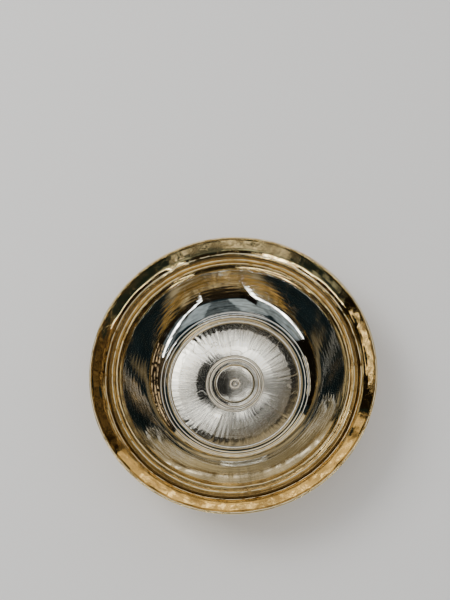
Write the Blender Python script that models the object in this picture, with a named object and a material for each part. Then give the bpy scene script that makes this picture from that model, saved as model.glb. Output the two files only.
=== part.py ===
"""Brass urli bowl with a tinned inside, built up from turned and raised pieces.

Metres, +Z up. The origin is the centre of the foot's resting plane, and Z is the bowl's axis.

    bowl_shell   brass bowl: dished floor, wall, rolled neck, bead and flat shoulder
    tin_lining   tin coat inside the bowl, let in flush with the bare brass neck
    lip_ring     raised brass lip, lapped under the shoulder
    lip_braze    fillet of brazing metal under that lap
    edge_wire    round brass wire along the lip's outer edge
    foot_ring    brass ring that the bowl stands on
    foot_braze   fillet of brazing metal between the foot and the floor
"""
from math import cos, pi, radians, sin, tan

import bmesh
import bpy

# Overall
RIM_RADIUS = 0.1525
HEIGHT = 0.0730
SEGMENTS = 64
SEAM = 0.0003

# The inner face that shows, from the centre outwards: each arc ends at a radius and a slope
FLOOR_HEIGHT = 0.0060
FLOOR_RADIUS = 0.0740
FLOOR_SLOPE = radians(7)
HEEL_RADIUS = 0.0833
HEEL_SLOPE = radians(31)
WALL_RADIUS = 0.0990
WALL_SLOPE = radians(50)
UPPER_WALL_RADIUS = 0.1205
UPPER_WALL_SLOPE = radians(58)
NECK_RADIUS = 0.1230
NECK_SLOPE = radians(46)
TIN_EDGE_RADIUS = 0.1195

# Metal
TIN = 0.0006
SKIN = 0.0024
SHOULDER_RADIUS = 0.1322
SHOULDER_HEIGHT = 0.0603
SHOULDER_METAL = 0.0014
BEAD_RADIUS = 0.0012

# Lip and its wire
LIP_METAL = 0.0016
LIP_LAP = 0.0060
LIP_ROOT_RADIUS = 0.1345
LIP_RIDGE_RADIUS = 0.1400
LIP_SLOPE = radians(33)
WIRE_RADIUS = 0.0015
WIRE_SIDES = 8

# Foot
FOOT_INNER_RADIUS = 0.0670
FOOT_OUTER_RADIUS = 0.0730
FOOT_FLARE = 0.0016
FILLET = 0.0022

# Points in each bend
FLOOR_STEPS = 3
HEEL_STEPS = 3
WALL_STEPS = 4
UPPER_WALL_STEPS = 3
NECK_STEPS = 2
BEAD_STEPS = 4

BRASS = ("brass", (0.78, 0.55, 0.22, 1.0), 0.22)
TINNED = ("tin", (0.80, 0.80, 0.77, 1.0), 0.18)
SPELTER = ("braze", (0.52, 0.37, 0.18, 1.0), 0.45)


def clear_scene():
    for thing in list(bpy.data.objects):
        bpy.data.objects.remove(thing)


def metal(name, colour, roughness):
    material = bpy.data.materials.new(name)
    material.use_nodes = True
    shader = material.node_tree.nodes["Principled BSDF"]
    shader.inputs["Base Color"].default_value = colour
    shader.inputs["Metallic"].default_value = 1.0
    shader.inputs["Roughness"].default_value = roughness
    material.diffuse_color = colour
    return material


def turned(name, outline, finish):
    """Spin an outline of (radius, height) points about Z into one closed, smooth piece."""
    model = bmesh.new()
    points = [model.verts.new((radius, 0.0, height)) for radius, height in outline]
    edges = [model.edges.new(pair) for pair in zip(points, points[1:])]
    if outline[0][0] > 0 or outline[-1][0] > 0:
        edges.append(model.edges.new((points[-1], points[0])))
    bmesh.ops.spin(
        model, geom=points + edges, cent=(0, 0, 0), axis=(0, 0, 1),
        angle=2 * pi, steps=SEGMENTS, use_merge=True,
    )
    bmesh.ops.remove_doubles(model, verts=model.verts, dist=1e-7)
    bmesh.ops.recalc_face_normals(model, faces=model.faces)
    mesh = bpy.data.meshes.new(name)
    model.to_mesh(mesh)
    model.free()
    mesh.shade_smooth()
    mesh.set_sharp_from_angle(angle=radians(35))
    mesh.materials.append(metal(name + "_" + finish[0], *finish[1:]))
    piece = bpy.data.objects.new(name, mesh)
    bpy.context.collection.objects.link(piece)
    return piece


def bend(start, slope, end_radius, end_slope, steps):
    """Points (radius, height, slope) along an arc from start, which is left out."""
    size = (end_radius - start[0]) / (sin(end_slope) - sin(slope))
    points = []
    for step in range(1, steps + 1):
        angle = slope + (end_slope - slope) * step / steps
        radius = start[0] + size * (sin(angle) - sin(slope))
        height = start[1] + size * (cos(slope) - cos(angle))
        points.append((radius, height, angle))
    return points


def inner_face():
    """The face that shows inside the bowl, from the floor's centre to the top of the neck."""
    face = [(0.0, FLOOR_HEIGHT, 0.0)]
    face += bend(face[-1], 0.0, FLOOR_RADIUS, FLOOR_SLOPE, FLOOR_STEPS)
    face += bend(face[-1], FLOOR_SLOPE, HEEL_RADIUS, HEEL_SLOPE, HEEL_STEPS)
    face += bend(face[-1], HEEL_SLOPE, WALL_RADIUS, WALL_SLOPE, WALL_STEPS)
    face += bend(face[-1], WALL_SLOPE, UPPER_WALL_RADIUS, UPPER_WALL_SLOPE, UPPER_WALL_STEPS)
    face += bend(face[-1], UPPER_WALL_SLOPE, NECK_RADIUS, NECK_SLOPE, NECK_STEPS)
    return face


def behind(face, depth):
    """The face moved into the metal by depth, square to its slope."""
    return [(r + depth * sin(slope), z - depth * cos(slope)) for r, z, slope in face]


def face_at(face, radius):
    """The point of the face at a radius, read along its straight stretch there."""
    for (r0, z0, slope0), (r1, z1, slope1) in zip(face, face[1:]):
        if r0 <= radius <= r1:
            part = (radius - r0) / (r1 - r0)
            return radius, z0 + part * (z1 - z0), slope0 + part * (slope1 - slope0)
    raise ValueError("no face at that radius")


def split_at_tin(face):
    """The face in two: as far as the tin goes, and the bare brass above it."""
    edge = face_at(face, TIN_EDGE_RADIUS)
    tinned = [point for point in face if point[0] < TIN_EDGE_RADIUS] + [edge]
    bare = [edge] + [point for point in face if point[0] > TIN_EDGE_RADIUS]
    return tinned, bare


def make_tin_lining(face):
    tinned, _ = split_at_tin(face)
    turned("tin_lining", behind(tinned, 0.0) + behind(tinned, TIN)[::-1], TINNED)


def make_bowl_shell(face):
    tinned, bare = split_at_tin(face)
    edge_radius, edge_height, edge_slope = tinned[-1]
    ledge = (edge_radius + SEAM * cos(edge_slope), edge_height + SEAM * sin(edge_slope), edge_slope)
    seat = behind(tinned[:-1] + [ledge], TIN + SEAM)
    neck = [ledge[:2]] + [(r, z) for r, z, _ in bare[1:]]
    bead_centre = NECK_RADIUS + BEAD_RADIUS
    bead = []
    for step in range(1, BEAD_STEPS + 1):
        turn = pi * (1 - step / BEAD_STEPS)
        bead.append((bead_centre + BEAD_RADIUS * cos(turn), SHOULDER_HEIGHT + BEAD_RADIUS * sin(turn)))
    under_shoulder = SHOULDER_HEIGHT - SHOULDER_METAL
    outside = behind(face[:-1], SKIN)
    throat = (outside[-1][0] + (under_shoulder - outside[-1][1]) / tan(face[-2][2]), under_shoulder)
    outline = seat + neck + bead
    outline += [(SHOULDER_RADIUS, SHOULDER_HEIGHT), (SHOULDER_RADIUS, under_shoulder), throat]
    turned("bowl_shell", outline + outside[::-1], BRASS)


def lip_lines():
    """The lip's upper line, from the lap under the shoulder to the wire, and the wire's centre."""
    lap_height = SHOULDER_HEIGHT - SHOULDER_METAL - SEAM
    wire = (RIM_RADIUS - WIRE_RADIUS, HEIGHT - WIRE_RADIUS)
    reach = WIRE_RADIUS + SEAM
    end_middle = (wire[0] - reach * cos(LIP_SLOPE), wire[1] - reach * sin(LIP_SLOPE))
    half = LIP_METAL / 2
    end = (end_middle[0] - half * sin(LIP_SLOPE), end_middle[1] + half * cos(LIP_SLOPE))
    ridge = (LIP_RIDGE_RADIUS, end[1] - (end[0] - LIP_RIDGE_RADIUS) * tan(LIP_SLOPE))
    upper = [(SHOULDER_RADIUS - LIP_LAP, lap_height), (LIP_ROOT_RADIUS, lap_height), ridge, end]
    return upper, wire


def thickened(line, metal_depth):
    """A sheet's outline: the line, and the same line moved down and out by its thickness."""
    below = []
    for index, point in enumerate(line):
        before = line[max(index - 1, 0)]
        after = line[min(index + 1, len(line) - 1)]
        run, rise = after[0] - before[0], after[1] - before[1]
        length = (run * run + rise * rise) ** 0.5
        below.append((point[0] + metal_depth * rise / length, point[1] - metal_depth * run / length))
    return line + below[::-1]


def make_lip():
    upper, wire = lip_lines()
    turned("lip_ring", thickened(upper, LIP_METAL), BRASS)
    rim = []
    for side in range(WIRE_SIDES):
        turn = 2 * pi * side / WIRE_SIDES
        rim.append((wire[0] + WIRE_RADIUS * cos(turn), wire[1] + WIRE_RADIUS * sin(turn)))
    turned("edge_wire", rim, BRASS)


def make_lip_braze(face):
    """A fillet in the corner between the wall's outside and the lap's underside."""
    top = SHOULDER_HEIGHT - SHOULDER_METAL - 2 * SEAM - LIP_METAL
    low = top - FILLET
    outside = behind(face, SKIN + SEAM)
    (r0, z0), (r1, z1) = outside[-3], outside[-2]
    slant = (r1 - r0) / (z1 - z0)
    corner = (r1 + (top - z1) * slant, top)
    foot = (r1 + (low - z1) * slant, low)
    under_lap = (SHOULDER_RADIUS - LIP_LAP + FILLET / 2, top)
    turned("lip_braze", [corner, foot, under_lap], SPELTER)


def make_foot(face):
    """The foot ring, its top cut to the slope of the floor above it, and the fillet inside it."""
    under_floor = FLOOR_HEIGHT - SKIN - SEAM
    inner = face_at(face, FOOT_INNER_RADIUS)[1] - FLOOR_HEIGHT + under_floor
    outer = face_at(face, FOOT_OUTER_RADIUS)[1] - FLOOR_HEIGHT + under_floor
    outline = [
        (FOOT_INNER_RADIUS, inner),
        (FOOT_OUTER_RADIUS, outer),
        (FOOT_OUTER_RADIUS + FOOT_FLARE, 0.0),
        (FOOT_INNER_RADIUS + FOOT_FLARE / 2, 0.0),
    ]
    turned("foot_ring", outline, BRASS)
    reach = FILLET / 2
    corner = FOOT_INNER_RADIUS - SEAM
    far_height = face_at(face, corner - reach)[1] - FLOOR_HEIGHT + under_floor
    fillet = [(corner, inner), (corner - reach, far_height), (corner, inner - reach)]
    turned("foot_braze", fillet, SPELTER)


clear_scene()
visible_face = inner_face()
make_bowl_shell(visible_face)
make_tin_lining(visible_face)
make_lip()
make_lip_braze(visible_face)
make_foot(visible_face)
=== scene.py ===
"""Looks of the brass urli bowl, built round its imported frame.

Each CAD piece is replaced by a finely turned mesh of the same shape, with the unevenness of hand work
in its geometry and procedural metals. Metres, +Z up, Z is the bowl's axis.
"""
import math

import bmesh
import bpy
import numpy as np
from mathutils import Matrix, Vector


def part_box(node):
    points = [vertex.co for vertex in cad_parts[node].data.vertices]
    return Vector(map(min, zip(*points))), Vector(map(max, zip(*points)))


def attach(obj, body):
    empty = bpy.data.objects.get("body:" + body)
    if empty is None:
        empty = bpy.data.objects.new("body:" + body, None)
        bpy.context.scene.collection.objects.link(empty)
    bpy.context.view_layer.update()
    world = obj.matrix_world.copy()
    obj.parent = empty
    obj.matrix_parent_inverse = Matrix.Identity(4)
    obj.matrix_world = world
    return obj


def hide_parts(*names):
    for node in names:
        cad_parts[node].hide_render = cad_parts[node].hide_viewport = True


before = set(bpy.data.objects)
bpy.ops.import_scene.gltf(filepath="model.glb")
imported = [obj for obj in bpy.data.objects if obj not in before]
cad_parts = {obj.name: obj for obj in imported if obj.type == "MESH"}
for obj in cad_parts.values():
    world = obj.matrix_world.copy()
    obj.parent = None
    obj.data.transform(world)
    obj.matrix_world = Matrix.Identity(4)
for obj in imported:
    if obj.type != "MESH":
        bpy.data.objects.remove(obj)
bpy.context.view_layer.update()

MM = 0.001

# Read from the frame
RIM_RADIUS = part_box("edge_wire")[1].x
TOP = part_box("edge_wire")[1].z
WIRE_RADIUS = (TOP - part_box("edge_wire")[0].z) / 2
SHOULDER_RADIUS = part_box("bowl_shell")[1].x
LIP_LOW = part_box("lip_ring")[0].z
FOOT_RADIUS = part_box("foot_ring")[1].x

# The inner face, as arcs from the centre outwards: (end radius, end slope in degrees)
FLOOR_HEIGHT = 6.0 * MM
INNER_ARCS = [(74.0 * MM, 7), (83.3 * MM, 31), (99.0 * MM, 50), (120.5 * MM, 58), (123.0 * MM, 46)]
TIN_EDGE_RADIUS = 119.3 * MM
TIN = 0.6 * MM
SKIN = 2.4 * MM

# Shoulder, lip and foot
SHOULDER_HEIGHT = 60.3 * MM
SHOULDER_METAL = 1.4 * MM
BEAD_RADIUS = 124.2 * MM
LIP_INNER_RADIUS = 126.2 * MM
LIP_ROOT_RADIUS = 134.5 * MM
LIP_RIDGE_RADIUS = 140.0 * MM
LIP_METAL = 1.6 * MM
LIP_SLOPE = math.radians(33)
FOOT_INNER_RADIUS = 67.0 * MM

# Parts of the tinned face: the sunk disc in the middle, the floor round it, and the wall
DISC_RADIUS = 21.9 * MM
FLOOR_EDGE = 72.0 * MM
WALL_START = 84.0 * MM

# Thin raised rings left by the turning tool on the tinned face
RIDGES = [5.1 * MM, 27.9 * MM, 31.9 * MM, 73.4 * MM, 79.3 * MM, 83.3 * MM]

# Radii of the bright lines round the bare brass, worn and matt with painted highlight, and of the dark lines
# painted in its grooves as painted shade
CRESTS = [124.4 * MM, 129.5 * MM, 136.6 * MM, 151.0 * MM]
GROOVES = [122.6 * MM, 126.6 * MM, 131.4 * MM, 148.9 * MM]

# Points round each turned piece
SEGMENTS = 420


# ---------------------------------------------------------------- outlines

def inner_face():
    """Radius, height and slope of the inner face, closely spaced from the centre to the neck."""
    rows = [(0.0, FLOOR_HEIGHT, 0.0)]
    for end_radius, end_degrees in INNER_ARCS:
        radius, height, slope = rows[-1]
        end_slope = math.radians(end_degrees)
        size = (end_radius - radius) / (math.sin(end_slope) - math.sin(slope))
        for angle in np.linspace(slope, end_slope, 60)[1:]:
            rows.append((
                radius + size * (math.sin(angle) - math.sin(slope)),
                height + size * (math.cos(slope) - math.cos(angle)),
                angle,
            ))
    return np.array(rows)


FACE = inner_face()


def face_line(start, end, step, depth=0.0):
    """Points on the inner face between two radii, moved into the metal by depth."""
    count = max(2, int(abs(end - start) / step) + 1)
    radius = np.linspace(start, end, count)
    height = np.interp(radius, FACE[:, 0], FACE[:, 1])
    slope = np.interp(radius, FACE[:, 0], FACE[:, 2])
    return np.stack([radius + depth * np.sin(slope), height - depth * np.cos(slope)], 1)


def rounded(corners, step):
    """A line through (radius, height, rounding) corners, each turned with its own rounding."""
    points = [np.array(corners[0][:2])]
    for before, corner, after in zip(corners, corners[1:], corners[2:]):
        here = np.array(corner[:2])
        to_before = np.array(before[:2]) - here
        to_after = np.array(after[:2]) - here
        reach = min(corner[2], 0.49 * np.linalg.norm(to_before), 0.49 * np.linalg.norm(to_after))
        start = here + to_before / np.linalg.norm(to_before) * reach
        end = here + to_after / np.linalg.norm(to_after) * reach
        for t in np.linspace(0, 1, 7):
            points.append((1 - t) ** 2 * start + 2 * t * (1 - t) * here + t * t * end)
    points.append(np.array(corners[-1][:2]))
    return spaced(np.array(points), step)


def spaced(points, step):
    """The same line with extra points, so that no two are further apart than step."""
    rows = [points[0]]
    for start, end in zip(points, points[1:]):
        length = np.linalg.norm(end - start)
        if length < 1e-7:
            continue
        for t in np.linspace(0, 1, max(1, math.ceil(length / step)) + 1)[1:]:
            rows.append(start + (end - start) * t)
    return np.array(rows)


# ---------------------------------------------------------------- relief

def waves(seed, angular, radial, count=40):
    """Smooth random unevenness that closes round the bowl, as a function of radius and angle."""
    random = np.random.default_rng(seed)
    around = random.integers(angular[0], angular[1] + 1, count)
    across = random.uniform(-radial, radial, count)
    phase = random.uniform(0, 2 * math.pi, count)

    def height(radius, angle):
        total = np.zeros(np.broadcast(radius, angle).shape)
        for m, k, p in zip(around, across, phase):
            total += np.cos(m * angle + k * radius + p)
        return total / math.sqrt(count / 2)

    return height


def band(radius, inner, outer, soft):
    """1 between two radii and 0 outside them, with soft edges."""
    rise = np.clip((radius - inner) / soft + 0.5, 0, 1)
    fall = np.clip((outer - radius) / soft + 0.5, 0, 1)
    return rise * rise * (3 - 2 * rise) * fall * fall * (3 - 2 * fall)


def ring(radius, centre, half_width):
    """A rounded ridge of height 1 at a radius."""
    t = np.clip((radius - centre) / half_width, -1, 1)
    return (1 - t * t) ** 2


# ---------------------------------------------------------------- turned meshes

def turned(name, outline, relief=None):
    """A solid of revolution with relief(radius, height, angle) raised square to its surface.

    The outline runs counter-clockwise, with radius to the right and height up. It either closes on
    itself or starts and ends on the axis.
    """
    on_axis = outline[0][0] < 1e-7
    if not on_axis:
        outline = outline[:-1] if np.allclose(outline[0], outline[-1]) else outline
    before = np.roll(outline, 1, 0)
    after = np.roll(outline, -1, 0)
    if on_axis:
        before[0] = outline[0] - (1e-4, 0)
        after[-1] = outline[-1] - (1e-4, 0)
    run = after - before
    normal = np.stack([run[:, 1], -run[:, 0]], 1)
    normal /= np.linalg.norm(normal, axis=1)[:, None]
    angle = np.arange(SEGMENTS) * 2 * math.pi / SEGMENTS
    radius, height = outline[:, :1], outline[:, 1:]
    shift = relief(radius, height, angle[None]) if relief else np.zeros((len(outline), SEGMENTS))
    radius = radius + shift * normal[:, :1]
    height = height + shift * normal[:, 1:]
    points = np.stack([radius * np.cos(angle), radius * np.sin(angle), height + 0 * angle], 2)
    rows = len(outline)
    index = np.arange(rows * SEGMENTS).reshape(rows, SEGMENTS)
    if on_axis:
        index[0] = index[0, 0]
        index[-1] = index[-1, 0]
        points[0] = points[0].mean(0)
        points[-1] = points[-1].mean(0)
    faces = []
    for row in range(rows - 1 if on_axis else rows):
        here, there = index[row], index[(row + 1) % rows]
        quad = np.stack([here, np.roll(here, -1), np.roll(there, -1), there], 1)
        if on_axis and row == 0:
            quad = quad[:, [0, 2, 3]]
        elif on_axis and row == rows - 2:
            quad = quad[:, [0, 1, 3]]
        faces += quad.tolist()
    mesh = bpy.data.meshes.new(name)
    mesh.from_pydata(points.reshape(-1, 3).tolist(), [], faces)
    mesh.validate()
    used = set(np.concatenate([np.ravel(face) for face in faces]).tolist())
    if len(used) < rows * SEGMENTS:
        drop_loose(mesh)
    mesh.shade_smooth()
    piece = bpy.data.objects.new(name, mesh)
    bpy.context.scene.collection.objects.link(piece)
    return piece


def drop_loose(mesh):
    """Takes out the spare vertices that the two points on the axis leave."""
    model = bmesh.new()
    model.from_mesh(mesh)
    loose = [vertex for vertex in model.verts if not vertex.link_faces]
    bmesh.ops.delete(model, geom=loose, context="VERTS")
    model.to_mesh(mesh)
    model.free()


def place(piece, node, material, below=None):
    """Puts the piece in its node's place; faces that look down can take a second material."""
    piece.data.materials.append(material)
    if below:
        piece.data.materials.append(below)
        for face in piece.data.polygons:
            face.material_index = int(face.normal.z < -0.1)
    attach(piece, "root")
    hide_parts(node)


# ---------------------------------------------------------------- the pieces

def edge_drift():
    """How far the tin's edge strays from its radius, as a function of the angle."""
    stray = waves(14, (3, 45), 0, 30)
    return lambda angle: 0.28 * MM * stray(0.0, angle)


def make_lining():
    """The tin coat: its streaked floor, its rippled wall, its thin rings and its ragged edge."""
    end = TIN_EDGE_RADIUS + 1.2 * MM
    coarse_end = 117.6 * MM
    top = np.concatenate([
        face_line(0.0, coarse_end, 0.62 * MM),
        face_line(coarse_end + 0.2 * MM, end, 0.15 * MM),
    ])[::-1]
    under = face_line(end, 0.0, 6 * MM, TIN)[::-1]
    outline = np.concatenate([under, top])
    wall_waves = waves(11, (4, 22), 90)
    ripple_drift = waves(12, (1, 7), 30)
    ripple_break = waves(15, (8, 40), 60)
    floor_streaks = waves(13, (22, 90), 40, 80)
    dents = waves(16, (2, 12), 150, 50)
    stray = edge_drift()
    ripple_turns = 2 * math.pi / (2.7 * MM)
    streak_start = 34 * MM

    def relief(radius, height, angle):
        above = height > np.interp(radius, FACE[:, 0], FACE[:, 1]) - TIN / 2
        rise = 0.022 * MM * wall_waves(radius, angle) * band(radius, WALL_START, 119 * MM, 6 * MM)
        ripple = np.cos(ripple_turns * radius + 1.8 * ripple_drift(radius, angle))
        ripple_height = 0.006 * MM * (1 + 0.5 * ripple_break(radius, angle))
        rise = rise + ripple_height * ripple * band(radius, WALL_START - 2 * MM, 121 * MM, 4 * MM)
        growth = np.clip((radius - streak_start) / streak_start, 0, 1)
        on_floor = band(radius, 30 * MM, FLOOR_EDGE, 6 * MM)
        rise = rise + 0.013 * MM * floor_streaks(radius, angle) * growth * on_floor
        rise = rise + 0.007 * MM * dents(radius, angle) * band(radius, 20 * MM, 73 * MM, 8 * MM)
        for centre in RIDGES:
            rise = rise + 0.22 * MM * ring(radius, centre, 0.95 * MM)
        rise = rise + 0.14 * MM * ring(radius, 0.0, 1.7 * MM)
        rise = rise - 0.30 * MM * band(radius, -1.0, DISC_RADIUS, 0.8 * MM)
        rise = rise - 0.14 * MM * np.clip(1 - (radius / DISC_RADIUS) ** 2, 0, 1)
        rise = rise - 0.45 * MM * (radius > TIN_EDGE_RADIUS + stray(angle))
        return rise * above

    return turned("lining", outline, relief)


def make_shell():
    """The brass bowl: the seat under the tin, the bare neck, the bead, the shoulder and the outside."""
    seat = face_line(0.0, 116.5 * MM, 5 * MM, TIN + 0.2 * MM)
    neck = face_line(117.5 * MM, 123.0 * MM, 0.2 * MM, 0.05 * MM)
    top, edge = SHOULDER_HEIGHT, SHOULDER_RADIUS
    bead = [(BEAD_RADIUS + 1.2 * MM * math.cos(a), top + 1.1 * MM * math.sin(a))
            for a in np.linspace(math.pi * 0.85, math.pi * 0.1, 14)]
    shoulder = rounded([
        (*bead[-1], 0),
        (126.0 * MM, top - 0.1 * MM, 0.4 * MM),
        (edge, top - 0.1 * MM, 0.6 * MM),
        (edge, top - SHOULDER_METAL, 0.2 * MM),
        (126.0 * MM, top - SHOULDER_METAL, 0.4 * MM),
        (*face_line(121.5 * MM, 122 * MM, MM, SKIN)[0], 0),
    ], 0.22 * MM)
    outside = face_line(121.0 * MM, 0.0, 2.0 * MM, SKIN)
    outline = np.concatenate([seat, neck, bead, shoulder, outside])[::-1]
    hand = waves(21, (5, 26), 60)
    wobble = waves(22, (6, 50), 200, 50)

    def relief(radius, height, angle):
        inside = height > np.interp(radius, FACE[:, 0], FACE[:, 1]) - SKIN / 2
        above = height > SHOULDER_HEIGHT - SHOULDER_METAL / 2
        lines = 0.012 * MM * np.cos(2 * math.pi * radius / (1.5 * MM)) * band(
            radius, 125.8 * MM, 131.6 * MM, 0.5 * MM)
        second = 0.38 * MM * ring(radius, 129.6 * MM, 0.9 * MM)
        uneven = 0.020 * MM * wobble(radius, angle)
        edge_line = 0.20 * MM * ring(radius, 120.2 * MM, 0.8 * MM) * inside
        neck_wave = 0.020 * MM * wobble(radius, angle) * inside * band(radius, 119 * MM, 126 * MM, 1 * MM)
        beaten = 0.10 * MM * hand(radius, angle) * ~inside * band(radius, 78 * MM, 121 * MM, 6 * MM)
        return (lines + second + uneven) * above + beaten + edge_line + neck_wave

    return turned("shell", outline, relief)


def make_lip():
    """The raised lip: its flat lap, the ridge it bends up through, and the wavering slope to the wire."""
    low = LIP_LOW
    root = low + LIP_METAL
    wire = (RIM_RADIUS - WIRE_RADIUS, TOP - WIRE_RADIUS)
    along = np.array([math.cos(LIP_SLOPE), math.sin(LIP_SLOPE)])
    up = np.array([-along[1], along[0]])
    end = np.array(wire) - along * WIRE_RADIUS * 0.8
    upper = end + up * LIP_METAL / 2
    lower = end - up * LIP_METAL / 2
    ridge_height = upper[1] - (upper[0] - LIP_RIDGE_RADIUS) * math.tan(LIP_SLOPE)
    outline = rounded([
        (LIP_INNER_RADIUS, root, 0),
        (LIP_INNER_RADIUS, low, 0.2 * MM),
        (LIP_ROOT_RADIUS + 0.9 * MM, low, 1.6 * MM),
        (LIP_RIDGE_RADIUS + 1.0 * MM, ridge_height - 1.6 * MM, 2.0 * MM),
        (*lower, 0.1 * MM),
        (*upper, 0.1 * MM),
        (LIP_RIDGE_RADIUS, ridge_height, 1.6 * MM),
        (LIP_ROOT_RADIUS, root, 1.8 * MM),
        (LIP_INNER_RADIUS, root, 0),
    ], 0.35 * MM)
    broad = waves(31, (6, 30), 220, 60)
    fine = waves(32, (30, 90), 500, 60)

    def relief(radius, height, angle):
        free = band(radius, 135.6 * MM, 149.0 * MM, 2 * MM)
        ridge = ring(radius, 140.5 * MM, 3.0 * MM)
        hammered = 0.16 * MM * broad(radius, angle) + 0.022 * MM * fine(radius, angle)
        return hammered * free * (0.75 + 0.6 * ridge)

    return turned("lip", outline, relief)


def make_wire():
    """The round edge wire, set in by the height of its own unevenness."""
    set_in = 0.06 * MM
    centre = np.array([RIM_RADIUS - WIRE_RADIUS - set_in, TOP - WIRE_RADIUS - set_in])
    turns = np.linspace(0, 2 * math.pi, 25)
    outline = centre + WIRE_RADIUS * np.stack([np.cos(turns), np.sin(turns)], 1)
    uneven = waves(41, (6, 40), 10)

    def relief(radius, height, angle):
        return 0.02 * MM * uneven(radius, angle)

    return turned("rim_wire", outline, relief)


def make_foot():
    """The foot ring, cut at the top to meet the floor above it."""
    inner = np.interp(FOOT_INNER_RADIUS, FACE[:, 0], FACE[:, 1]) - SKIN
    outer_radius = FOOT_RADIUS - 1.6 * MM
    outer = np.interp(outer_radius, FACE[:, 0], FACE[:, 1]) - SKIN
    outline = rounded([
        (outer_radius, outer, 0),
        (FOOT_INNER_RADIUS, inner, 0.1 * MM),
        (FOOT_INNER_RADIUS + 0.8 * MM, 0.0, 0.5 * MM),
        (FOOT_RADIUS, 0.0, 0.7 * MM),
        (outer_radius, outer, 0),
    ], 0.8 * MM)
    return turned("foot", outline)


def make_lip_fillet():
    """Brazing metal in the corner between the wall's outside and the lip's lap."""
    top = LIP_LOW
    wall = face_line(118.0 * MM, 121.0 * MM, 0.5 * MM, SKIN)
    height = wall[:, 1]
    reach = 3.2 * MM
    foot = np.interp(top - reach, height, wall[:, 0])
    corner = np.interp(top, height, wall[:, 0])
    outline = rounded([
        (corner, top, 0),
        (foot, top - reach, 0.1 * MM),
        ((corner + foot) / 2 + 1.5 * MM, top - 1.2 * MM, 1.4 * MM),
        (LIP_INNER_RADIUS + 1.6 * MM, top, 0.1 * MM),
        (corner, top, 0),
    ], 0.5 * MM)
    return turned("lip_fillet", outline)


def make_foot_fillet():
    """Brazing metal inside the foot ring, where it meets the floor."""
    height = np.interp(FOOT_INNER_RADIUS, FACE[:, 0], FACE[:, 1]) - SKIN
    radius = FOOT_INNER_RADIUS
    outline = rounded([
        (radius, height, 0),
        (radius - 1.5 * MM, height - 0.15 * MM, 0.1 * MM),
        (radius - 0.5 * MM, height - 0.6 * MM, 0.5 * MM),
        (radius, height - 1.5 * MM, 0.1 * MM),
        (radius, height, 0),
    ], 0.4 * MM)
    return turned("foot_fillet", outline)


# ---------------------------------------------------------------- materials

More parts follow.
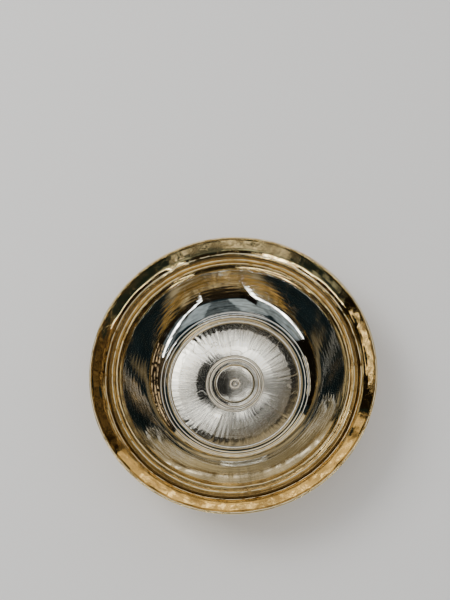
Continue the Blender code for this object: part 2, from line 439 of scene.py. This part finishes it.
class Surface:
    """A material under construction: its node tree, with short ways to add and join nodes."""

    def __init__(self, name, centre=(0.0, 0.0)):
        self.material = bpy.data.materials.new(name)
        self.material.use_nodes = True
        self.tree = self.material.node_tree
        self.shader = self.tree.nodes["Principled BSDF"]
        place_node = self.add("ShaderNodeTexCoord")
        self.object_place = place_node.outputs["Object"]
        split = self.add("ShaderNodeSeparateXYZ")
        self.join(self.object_place, split.inputs[0])
        self.x, self.y, self.z = split.outputs
        if any(centre):
            self.x = self.maths("SUBTRACT", self.x, centre[0])
            self.y = self.maths("SUBTRACT", self.y, centre[1])
        flat = self.add("ShaderNodeCombineXYZ")
        self.join(self.x, flat.inputs[0])
        self.join(self.y, flat.inputs[1])
        length = self.add("ShaderNodeVectorMath", operation="LENGTH")
        self.join(flat.outputs[0], length.inputs[0])
        self.radius = length.outputs["Value"]
        self.unit_x = self.maths("DIVIDE", self.x, self.radius)
        self.unit_y = self.maths("DIVIDE", self.y, self.radius)

    def add(self, kind, **settings):
        node = self.tree.nodes.new(kind)
        for key, value in settings.items():
            setattr(node, key, value)
        return node

    def join(self, source, target):
        if isinstance(source, (int, float)):
            target.default_value = source
        else:
            self.tree.links.new(source, target)

    def maths(self, operation, first, second=0.0):
        node = self.add("ShaderNodeMath", operation=operation)
        self.join(first, node.inputs[0])
        self.join(second, node.inputs[1])
        return node.outputs[0]

    def product(self, first, *others):
        for other in others:
            first = self.maths("MULTIPLY", first, other)
        return first

    def sum(self, *terms):
        """Adds (value, weight) terms."""
        total = 0.0
        for value, weight in terms:
            total = self.maths("ADD", total, self.maths("MULTIPLY", value, weight))
        return total

    def polar_noise(self, around, across, detail=2.0, seed=0.0):
        """Noise in polar terms: features per radian around the axis, and per metre of radius."""
        vector = self.add("ShaderNodeCombineXYZ")
        self.join(self.product(self.unit_x, around), vector.inputs[0])
        self.join(self.maths("ADD", self.product(self.unit_y, around), 0.5), vector.inputs[1])
        self.join(self.product(self.radius, across), vector.inputs[2])
        return self.noise(vector.outputs[0], 1.0, detail, seed)

    def noise(self, vector, scale, detail=2.0, seed=0.0):
        node = self.add("ShaderNodeTexNoise", noise_dimensions="4D")
        self.join(vector, node.inputs["Vector"])
        node.inputs["W"].default_value = seed
        node.inputs["Scale"].default_value = scale
        node.inputs["Detail"].default_value = detail
        return node.outputs["Fac"]

    def ramp(self, value, low, high, to_low=0.0, to_high=1.0):
        """A smooth step from to_low at low to to_high at high."""
        node = self.add("ShaderNodeMapRange", interpolation_type="SMOOTHSTEP")
        self.join(value, node.inputs["Value"])
        node.inputs["From Min"].default_value = low
        node.inputs["From Max"].default_value = high
        node.inputs["To Min"].default_value = to_low
        node.inputs["To Max"].default_value = to_high
        return node.outputs["Result"]

    def band(self, inner, outer, soft, radius=None):
        """1 between two radii."""
        radius = radius or self.radius
        rise = self.ramp(radius, inner - soft, inner + soft)
        fall = self.ramp(radius, outer - soft, outer + soft, 1.0, 0.0)
        return self.maths("MULTIPLY", rise, fall)

    def rings(self, centres, half_width, soft, radius=None):
        """1 on thin rings at the given radii."""
        total = 0.0
        for centre in centres:
            ring_here = self.band(centre - half_width, centre + half_width, soft, radius)
            total = self.maths("MAXIMUM", total, ring_here)
        return total

    def hairlines(self, scale, width, seed):
        """Thin wandering lines, 1 on the line."""
        middle = self.maths("SUBTRACT", self.noise(self.object_place, scale, 1.5, seed), 0.5)
        return self.ramp(self.maths("ABSOLUTE", middle), 0.0, width, 1.0, 0.0)

    def blend(self, factor, first, second):
        """First where the factor is 0, second where it is 1; each is a colour or a socket."""
        node = self.add("ShaderNodeMix", data_type="RGBA")
        self.join(factor, node.inputs["Factor"])
        for socket, value in ((node.inputs[6], first), (node.inputs[7], second)):
            if isinstance(value, tuple):
                socket.default_value = (*value, 1)
            else:
                self.join(value, socket)
        return node.outputs[2]

    def finish(self, colour, roughness, height, metallic=1.0):
        """Joins the results to the shader; height is a bump in millimetres."""
        self.join(metallic, self.shader.inputs["Metallic"])
        self.join(colour, self.shader.inputs["Base Color"])
        self.join(roughness, self.shader.inputs["Roughness"])
        bump = self.add("ShaderNodeBump")
        bump.inputs["Distance"].default_value = MM
        self.join(height, bump.inputs["Height"])
        self.join(bump.outputs[0], self.shader.inputs["Normal"])
        return self.material

    def glow(self, colour, strength, cover):
        """Turns the material into a glowing one; where cover is 0 it lets everything through."""
        self.shader.inputs["Base Color"].default_value = (0, 0, 0, 1)
        self.shader.inputs["Specular IOR Level"].default_value = 0.0
        self.shader.inputs["Emission Color"].default_value = (*colour, 1)
        self.join(strength, self.shader.inputs["Emission Strength"])
        self.join(cover, self.shader.inputs["Alpha"])
        return self.material

    def grain_across_turning(self, amount):
        """Turned metal: its fine grooves spread a highlight along the radius."""
        tangent = self.add("ShaderNodeTangent", direction_type="RADIAL", axis="Z")
        self.join(tangent.outputs[0], self.shader.inputs["Tangent"])
        self.shader.inputs["Anisotropic"].default_value = amount
        self.shader.inputs["Anisotropic Rotation"].default_value = 0.25


TIN_BRIGHT = (0.80, 0.81, 0.79)
TIN_GREY = (0.70, 0.69, 0.64)
# darker tone for the floor's streaks: partly rubbed wipes, partly painted reflection
TIN_RUBBED_AND_REFLECTION_STREAK = (0.40, 0.39, 0.35)
TIN_LINED = (0.36, 0.33, 0.27)
TIN_THIN = (0.66, 0.55, 0.36)
# painted shade beside the thin raised rings
TIN_HOLLOW_SHADE = (0.16, 0.15, 0.13)
# bright crowns of the thin rings: worn and matt, with a cream colour that is painted highlight
TIN_CROWN_WEAR_AND_HIGHLIGHT = (0.95, 0.90, 0.78)

BRASS_POLISHED = (0.86, 0.66, 0.32)
BRASS_STAINED = (0.30, 0.19, 0.07)
BRASS_DULL = (0.50, 0.33, 0.12)
# painted shade in the brass grooves and in the corner by the lip
BRASS_GROOVE_SHADE = (0.13, 0.08, 0.03)
# bright crest lines: worn and matt, with painted highlight in their colour
BRASS_CREST_HIGHLIGHT = (1.0, 0.86, 0.56)

BRAZE_WARM = (0.62, 0.40, 0.15)
BRAZE_DARK = (0.30, 0.20, 0.09)


def make_tin():
    """Bright tin: rubbed outwards on the floor, with dark streaks there that are partly painted reflection,
    lined on the wall, and matt along its thin rings, with painted highlight on their crowns and painted
    shade beside them.
    """
    metal = Surface("tin")
    cloud = metal.noise(metal.object_place, 28.0, 3.0, 1.0)
    streak = metal.polar_noise(26.0, 25.0, 3.0, 2.0)
    fine_streak = metal.polar_noise(90.0, 60.0, 2.0, 3.0)
    lines = metal.polar_noise(1.2, 900.0, 2.0, 4.0)
    broad_lines = metal.polar_noise(1.6, 330.0, 2.0, 5.0)
    wall_lines = metal.ramp(metal.polar_noise(2.2, 520.0, 3.0, 7.0), 0.44, 0.60)
    outside_disc = metal.ramp(metal.radius, 22 * MM, 30 * MM)
    scratches = metal.product(metal.hairlines(26.0, 0.006, 6.0), outside_disc)

    disc = metal.ramp(metal.radius, DISC_RADIUS - 1.4 * MM, DISC_RADIUS - 0.4 * MM, 1.0, 0.0)
    floor = metal.ramp(metal.radius, FLOOR_EDGE - 1 * MM, FLOOR_EDGE + 2 * MM, 1.0, 0.0)
    wall = metal.ramp(metal.radius, WALL_START, WALL_START + 6 * MM)

    # a band of the floor is wiped dull, with ragged edges
    ragged = metal.sum((metal.band(44 * MM, 64 * MM, 3.5 * MM), 1.0), (streak, 1.6), (0.5, -1.6))
    wiped = metal.product(metal.ramp(ragged, 0.35, 0.65), metal.band(35 * MM, FLOOR_EDGE, 1 * MM))
    # dark radial streaks on the floor: partly rubbed wipes, partly painted reflection of the turned floor's
    # streaked highlights
    rubbed_and_reflection_streaks = metal.product(metal.ramp(fine_streak, 0.46, 0.62), metal.band(33 * MM, 71 * MM, 1 * MM))

    thin = metal.product(metal.ramp(broad_lines, 0.58, 0.72), wall)
    lined = metal.product(wall_lines, metal.maths("ADD", wall, disc))
    # the crowns of the thin rings: matt worn metal, with a bright cream colour that is painted highlight
    crown_wear_and_highlight = metal.rings(RIDGES, 0.32 * MM, 0.16 * MM)
    crown_wear_and_highlight = metal.product(crown_wear_and_highlight, metal.ramp(streak, 0.25, 0.5, 0.6, 1.0))
    # painted shade: dark rings painted just outside each raised ring, where its shade falls
    hollow_shade = metal.rings([ridge + 0.95 * MM for ridge in RIDGES], 0.22 * MM, 0.16 * MM)

    tone = metal.blend(metal.ramp(cloud, 0.35, 0.7), TIN_BRIGHT, TIN_GREY)
    tone = metal.blend(metal.product(thin, 0.35), tone, TIN_THIN)
    tone = metal.blend(metal.product(lined, 0.42), tone, TIN_LINED)
    tone = metal.blend(metal.product(rubbed_and_reflection_streaks, 0.55), tone, TIN_RUBBED_AND_REFLECTION_STREAK)
    tone = metal.blend(metal.product(hollow_shade, 0.65), tone, TIN_HOLLOW_SHADE)
    tone = metal.blend(crown_wear_and_highlight, tone, TIN_CROWN_WEAR_AND_HIGHLIGHT)
    roughness = metal.sum(
        (cloud, 0.05),
        (lines, 0.04),
        (metal.product(wiped, fine_streak), 0.11),
        (scratches, 0.08),
        (crown_wear_and_highlight, 0.45),
    )
    height = metal.sum(
        (metal.product(streak, floor), 0.0070),
        (metal.product(fine_streak, floor), 0.0050),
        (metal.product(broad_lines, wall), 0.026),
        (metal.product(wall_lines, wall), 0.004),
        (lines, 0.0022),
        (scratches, 0.0030),
    )
    metal.grain_across_turning(0.5)
    return metal.finish(tone, roughness, height, metal.ramp(crown_wear_and_highlight, 0.0, 1.0, 1.0, 0.25))


def make_brass(name, worn):
    """Brass; worn is 0 for the polished top, with its painted highlight lines and painted shade lines, and 1
    for the outside.
    """
    metal = Surface(name)
    cloud = metal.noise(metal.object_place, 60.0, 3.0, 11.0)
    patch = metal.noise(metal.object_place, 120.0, 4.0, 12.0)
    lines = metal.polar_noise(1.5, 1500.0, 2.0, 13.0)
    marks = metal.polar_noise(150.0, 90.0, 2.0, 14.0)
    scratches = metal.hairlines(45.0, 0.010, 15.0)
    lip = metal.ramp(metal.radius, LIP_ROOT_RADIUS, LIP_ROOT_RADIUS + 1.5 * MM)
    turned_part = metal.ramp(metal.radius, LIP_ROOT_RADIUS - 1 * MM, LIP_ROOT_RADIUS + 0.5 * MM, 1.0, 0.0)

    stain = metal.product(metal.ramp(cloud, 0.48, 0.60), metal.ramp(patch, 0.40, 0.56))
    tone = metal.blend(metal.product(stain, 0.55 - 0.25 * worn), BRASS_POLISHED, BRASS_STAINED)
    shine = 1.0
    crest_wear_and_highlight = 0.0
    if worn:
        dull = metal.noise(metal.object_place, 14.0, 4.0, 16.0)
        tone = metal.blend(metal.ramp(dull, 0.35, 0.75), tone, BRASS_DULL)
    else:
        sway = metal.sum((metal.polar_noise(9.0, 0.0, 3.0, 17.0), 1.6 * MM), (0.5, -1.6 * MM))
        wavering = metal.maths("ADD", metal.radius, sway)
        breaks = metal.polar_noise(14.0, 300.0, 3.0, 18.0)
        # bright lines on the raised crests: worn matt metal, with painted highlight in their colour
        crest_wear_and_highlight = metal.product(metal.rings(CRESTS, 0.34 * MM, 0.30 * MM, wavering),
                               metal.ramp(breaks, 0.32, 0.50, 0.25, 1.0))
        # dark lines in the grooves: painted shade
        groove_shade = metal.product(metal.rings(GROOVES, 0.34 * MM, 0.34 * MM, wavering),
                                metal.ramp(breaks, 0.68, 0.50, 0.35, 1.0))
        # a dark band in the corner between the shoulder and the lip's root: painted shade
        corner = metal.band(SHOULDER_RADIUS + 0.1 * MM, LIP_ROOT_RADIUS + 0.7 * MM, 0.7 * MM, wavering)
        groove_shade = metal.maths("MAXIMUM", groove_shade, corner)
        tone = metal.blend(metal.product(groove_shade, 0.85), tone, BRASS_GROOVE_SHADE)
        tone = metal.blend(crest_wear_and_highlight, tone, BRASS_CREST_HIGHLIGHT)
        shine = metal.ramp(crest_wear_and_highlight, 0.0, 1.0, 1.0, 0.35)
    roughness = metal.sum(
        (cloud, 0.08 + 0.20 * worn),
        (patch, 0.06 + 0.16 * worn),
        (scratches, 0.12),
        (stain, 0.10),
        (crest_wear_and_highlight, 0.30),
    )
    height = metal.sum(
        (metal.product(lines, turned_part), 0.0030),
        (metal.product(cloud, lip), 0.26),
        (metal.product(patch, lip), 0.075),
        (metal.product(marks, lip), 0.006),
        (scratches, 0.004),
    )
    metal.grain_across_turning(0.3)
    return metal.finish(tone, roughness, height, shine)


def make_braze():
    """Dull, pitted brazing metal."""
    metal = Surface("braze")
    cloud = metal.noise(metal.object_place, 90.0, 4.0, 21.0)
    pits = metal.noise(metal.object_place, 600.0, 3.0, 22.0)
    tone = metal.blend(metal.ramp(cloud, 0.35, 0.65), BRAZE_WARM, BRAZE_DARK)
    roughness = metal.sum((cloud, 0.35), (pits, 0.35))
    return metal.finish(tone, roughness, metal.sum((cloud, 0.20), (pits, 0.06)))


tin = make_tin()
brass = make_brass("brass", 0)
dull_brass = make_brass("brass_outside", 1)
braze = make_braze()

place(make_lining(), "tin_lining", tin)
place(make_shell(), "bowl_shell", brass, dull_brass)
place(make_lip(), "lip_ring", brass, dull_brass)
place(make_wire(), "edge_wire", brass)
place(make_foot(), "foot_ring", dull_brass)
place(make_lip_fillet(), "lip_braze", braze)
place(make_foot_fillet(), "foot_braze", braze)


# ---------------------------------------------------------------- floor, light and camera

WHITE = (1.0, 0.99, 0.96)
COOL = (0.86, 0.98, 1.0)
CREAM = (1.0, 0.86, 0.62)
SAND = (1.0, 0.77, 0.43)
IVORY = (1.0, 0.96, 0.87)
TEAL = (0.45, 0.80, 0.90)
BROWN = (1.0, 0.70, 0.38)
PALE_PAINT = (0.80, 0.79, 0.77)

# The dark tent round the studio, and the level of the cards under its roof
TENT_SIDE = 2.6
TENT_FRONT = -8.2
TENT_ROOF = 2.5
TENT_LOW = 0.02
CARD_LEVEL = 2.3


def make_floor():
    """A pale floor that runs far out on every side."""
    paint = bpy.data.materials.new("floor_paint")
    paint.use_nodes = True
    shader = paint.node_tree.nodes["Principled BSDF"]
    shader.inputs["Base Color"].default_value = (*PALE_PAINT, 1)
    shader.inputs["Roughness"].default_value = 0.9
    bpy.ops.mesh.primitive_circle_add(vertices=96, radius=14, fill_type="NGON")
    floor = bpy.context.object
    floor.name = "floor"
    floor.data.materials.append(paint)


def card_paint(name, corners, colour, strength, fade, dots):
    """Glowing paint: even, or with a fade clouded and soft towards the card's edges, or in dots too."""
    paint = Surface(name + "_paint")
    if not fade:
        return paint.glow(colour, strength, 1.0)
    cover = 1.0
    for axis, position in enumerate((paint.x, paint.y, paint.z)):
        low = min(corner[axis] for corner in corners)
        high = max(corner[axis] for corner in corners)
        if high - low < MM:
            continue
        edge = min(fade, (high - low) / 3)
        cover = paint.product(cover, paint.ramp(position, low - edge, low + edge),
                              paint.ramp(position, high - edge, high + edge, 1.0, 0.0))
    if dots:
        cover = paint.product(cover, paint.ramp(paint.noise(paint.object_place, 9.0, 1.0), 0.42, 0.52))
    cloud = paint.noise(paint.object_place, 2.5, 3.0, 1.0)
    return paint.glow(colour, paint.ramp(cloud, 0.3, 0.7, 0.65 * strength, 1.35 * strength), cover)


def hang_card(name, corners, material):
    """A flat studio card that only the metal sees: it lights up reflections and nothing else."""
    mesh = bpy.data.meshes.new(name)
    mesh.from_pydata(corners, [], [list(range(len(corners)))])
    mesh.materials.append(material)
    card = bpy.data.objects.new(name, mesh)
    bpy.context.scene.collection.objects.link(card)
    card.visible_camera = False
    card.visible_diffuse = False
    card.visible_shadow = False
    card.visible_transmission = False
    card.visible_volume_scatter = False


def make_card(name, corners, colour, strength, fade=0.0, dots=False):
    hang_card(name, corners, card_paint(name, corners, colour, strength, fade, dots))


def level_card(name, x_range, y_range, height, *look):
    """A card lying flat overhead; look is its colour, strength, fade and whether it has dots."""
    (x0, x1), (y0, y1) = x_range, y_range
    make_card(name, [(x0, y0, height), (x1, y0, height), (x1, y1, height), (x0, y1, height)], *look)


def side_card(name, x, y_range, z_range, *look):
    """A card standing on the left or the right."""
    (y0, y1), (z0, z1) = y_range, z_range
    make_card(name, [(x, y0, z0), (x, y1, z0), (x, y1, z1), (x, y0, z1)], *look)


def end_card(name, x_range, y, z_range, *look):
    """A card standing in front or behind."""
    (x0, x1), (z0, z1) = x_range, z_range
    make_card(name, [(x0, y, z0), (x1, y, z0), (x1, y, z1), (x0, y, z1)], *look)


def make_ring_light():
    """The overhead card that the bowl's floor mirrors: a ragged ring, brighter on the camera's side."""
    centre = (0.03, 0.663)
    reach = 0.36
    paint = Surface("ring_paint", centre)
    strands = paint.polar_noise(13.0, 3.0, 3.0, 1.0)
    wedges = paint.ramp(paint.polar_noise(9.0, 1.5, 3.0, 2.0), 0.44, 0.54)
    gaps = paint.maths("SUBTRACT", 1.0, wedges)
    to_left = paint.ramp(paint.unit_x, 0.0, 0.7)
    to_camera = paint.ramp(paint.unit_y, 0.25, -0.60)
    away = paint.ramp(paint.unit_y, 0.35, 0.75)

    ragged = paint.sum((paint.radius, 1.0), (strands, 0.09), (to_left, -0.036), (0.045, -1.0))
    wide = paint.band(0.148, 0.242, 0.007, ragged)
    narrow = paint.band(0.128, 0.205, 0.010, ragged)
    level = paint.sum((to_camera, 3.6), (to_left, 2.0), (0.42, 1.0))
    level = paint.product(level, paint.ramp(paint.product(away, gaps), 1.0, 0.0, 0.05, 1.0),
                          paint.ramp(wedges, 0.0, 1.0, 0.45, 1.0))
    middle = paint.product(paint.ramp(paint.x, 0.02, -0.02), paint.band(-1.0, 0.140, 0.004))
    strength = paint.sum(
        (paint.product(wide, level), 1.0),
        (paint.product(narrow, wedges, away), 2.2),
        (middle, 0.28),
        (0.02, 1.0),
    )
    turns = np.linspace(0, 2 * math.pi, 49)[:-1]
    corners = [(centre[0] + reach * math.cos(t), centre[1] + reach * math.sin(t), CARD_LEVEL) for t in turns]
    hang_card("ring_light", corners, paint.glow(IVORY, strength, paint.band(-1.0, 0.335, 0.01)))


def make_tent():
    """Closes off everything that no brighter card covers."""
    sides = (-TENT_SIDE, TENT_SIDE)
    depth = (TENT_FRONT, TENT_SIDE)
    heights = (TENT_LOW, TENT_ROOF)
    level_card("tent_roof", sides, depth, TENT_ROOF, TEAL, 0.028)
    side_card("tent_left", TENT_SIDE, depth, heights, BROWN, 0.014)
    side_card("tent_right", -TENT_SIDE, depth, heights, BROWN, 0.006)
    end_card("tent_front", sides, TENT_FRONT, heights, BROWN, 0.02)
    end_card("tent_back", sides, TENT_SIDE, heights, TEAL, 0.02)


def make_back_cards():
    """A warm card behind the bowl, and the brighter bowed strip that its lip mirrors."""
    end_card("back_card", (-1.85, 2.2), 2.3, (0.12, 1.80), SAND, 0.72, 0.12)
    across = np.linspace(-1.6, 1.7, 15)
    strip = [(x, 2.29, 0.73 + 0.2 * x * x) for x in across]
    strip += [(x, 2.29, 0.82 + 0.2 * x * x) for x in across[::-1]]
    make_card("back_foot", strip, CREAM, 2.5, 0.06, True)


def make_overhead_cards():
    """Cards overhead, on the camera's side and then beyond the bowl."""
    level = CARD_LEVEL
    level_card("ceiling_near", (-1.7, 0.75), (-1.75, -1.0), level, WHITE, 0.9, 0.08, True)
    level_card("ceiling_left", (0.8, 2.5), (-6.0, -1.9), level, COOL, 0.42, 0.15)
    level_card("ceiling_right", (-2.5, -0.8), (-6.0, -1.9), level, COOL, 0.5, 0.15)
    for plank in range(9):
        y = -1.80 - plank * 0.44
        level_card("plank_%d" % plank, (-0.8, 0.8), (y - 0.33, y), level, COOL, 0.16, 0.03)
    level_card("mid_near", (-0.25, 0.25), (-0.80, -0.40), level, SAND, 0.25, 0.10)
    level_card("mid_far", (-0.60, 0.60), (-0.40, 0.10), level, SAND, 0.80, 0.08)
    make_ring_light()
    level_card("over_right", (-0.62, -0.42), (0.45, 1.0), level, SAND, 0.5, 0.05)
    level_card("over_left", (0.45, 0.62), (0.5, 1.0), level, SAND, 0.5, 0.05)
    level_card("over_far", (-0.60, 0.60), (1.10, 1.60), level, SAND, 0.5, 0.08)
    level_card("over_all", (-0.80, 0.80), (0.12, 1.20), level + 0.03, SAND, 0.40, 0.10)


def make_side_cards():
    """Two long strip lights that run away over the camera's head, and broad dim cards behind them."""
    side_card("strip_left", 2.1, (-7.8, -0.45), (1.42, 1.53), WHITE, 16, 0.02)
    side_card("strip_right", -2.1, (-7.8, -0.15), (0.78, 0.88), WHITE, 16, 0.02)
    side_card("wash_left", 2.4, (-3.5, -0.5), (1.2, 2.3), COOL, 0.16, 0.2)
    side_card("wash_right", -2.4, (-3.5, -0.2), (0.75, 2.3), COOL, 0.34, 0.2)
    side_card("mottle_left", 2.35, (-0.6, 1.9), (1.5, 2.28), BROWN, 0.13, 0.08, True)
    side_card("warm_right", -2.3, (0.40, 1.90), (1.45, 1.95), CREAM, 2.4, 0.08, True)


def make_slats():
    """Warm dotted slats, (place, strength), overhead and on the dark sides."""
    for slat, (x, glow) in enumerate(((0.98, 0.7), (1.38, 1.1), (1.80, 0.7))):
        level_card("slat_over_%d" % slat, (x, x + 0.13), (-0.50, 0.60), CARD_LEVEL, BROWN, glow, 0.03, True)
        level_card("slat_beyond_%d" % slat, (-x - 0.10, -x), (-0.60, 0.10), CARD_LEVEL, BROWN, 0.4 * glow,
                   0.03, True)
    for row, (height, glow) in enumerate(((0.34, 0.5), (0.60, 1.0), (0.90, 1.3), (1.20, 1.0))):
        low = 0.8 * height
        side_card("slat_left_%d" % row, 2.3, (-1.0, 2.2), (height, height + 0.10), BROWN, glow, 0.02, True)
        side_card("slat_right_%d" % row, -2.3, (-3.4, -0.5), (low, low + 0.05), BROWN, 0.6 * glow,
                  0.02, True)


def make_key_light():
    """A large soft light from above; the metal mirrors the cards instead of it."""
    place_at = Vector((-1.2, 0.9, 2.0))
    data = bpy.data.lights.new("key", "AREA")
    data.shape = "RECTANGLE"
    data.size = data.size_y = 1.2
    data.energy = 30
    light = bpy.data.objects.new("key", data)
    light.location = place_at
    light.rotation_euler = (-place_at).to_track_quat("-Z", "Y").to_euler()
    light.visible_camera = False
    light.visible_glossy = False
    bpy.context.scene.collection.objects.link(light)


def make_world():
    """Even pale light all round."""
    world = bpy.data.worlds.new("studio")
    world.use_nodes = True
    world.node_tree.nodes["Background"].inputs["Color"].default_value = (0.80, 0.80, 0.80, 1)
    bpy.context.scene.world = world


def make_camera():
    """Looks steeply down into the bowl, from its near side, at arm's length."""
    reach = 5.5 * RIM_RADIUS
    elevation = math.radians(72.3)
    roll = math.radians(-10.35)
    # how far off the view's centre line the rim's centre stands, per metre of distance
    aside, below = 0.0084, 0.0832
    back = Vector((0, -math.cos(elevation), math.sin(elevation)))
    rim_centre = Vector((0, 0, TOP))
    data = bpy.data.cameras.new("camera")
    data.lens = 47.48
    camera = bpy.data.objects.new("camera", data)
    bpy.context.scene.collection.objects.link(camera)
    forward = -back
    right = Vector((1, 0, 0))
    up = right.cross(forward)
    across = math.cos(roll) * right + math.sin(roll) * up
    upward = -math.sin(roll) * right + math.cos(roll) * up
    facing = Matrix((across, upward, back)).transposed()
    to_centre = Vector((aside, -below, -1))
    turn = to_centre.rotation_difference(Vector((0, 0, -1)))
    camera.matrix_world = Matrix.Translation(rim_centre + back * reach) @ (
        facing @ turn.to_matrix()).to_4x4()
    bpy.context.scene.camera = camera


make_floor()
make_tent()
make_back_cards()
make_overhead_cards()
make_side_cards()
make_slats()
make_key_light()
make_world()
make_camera()
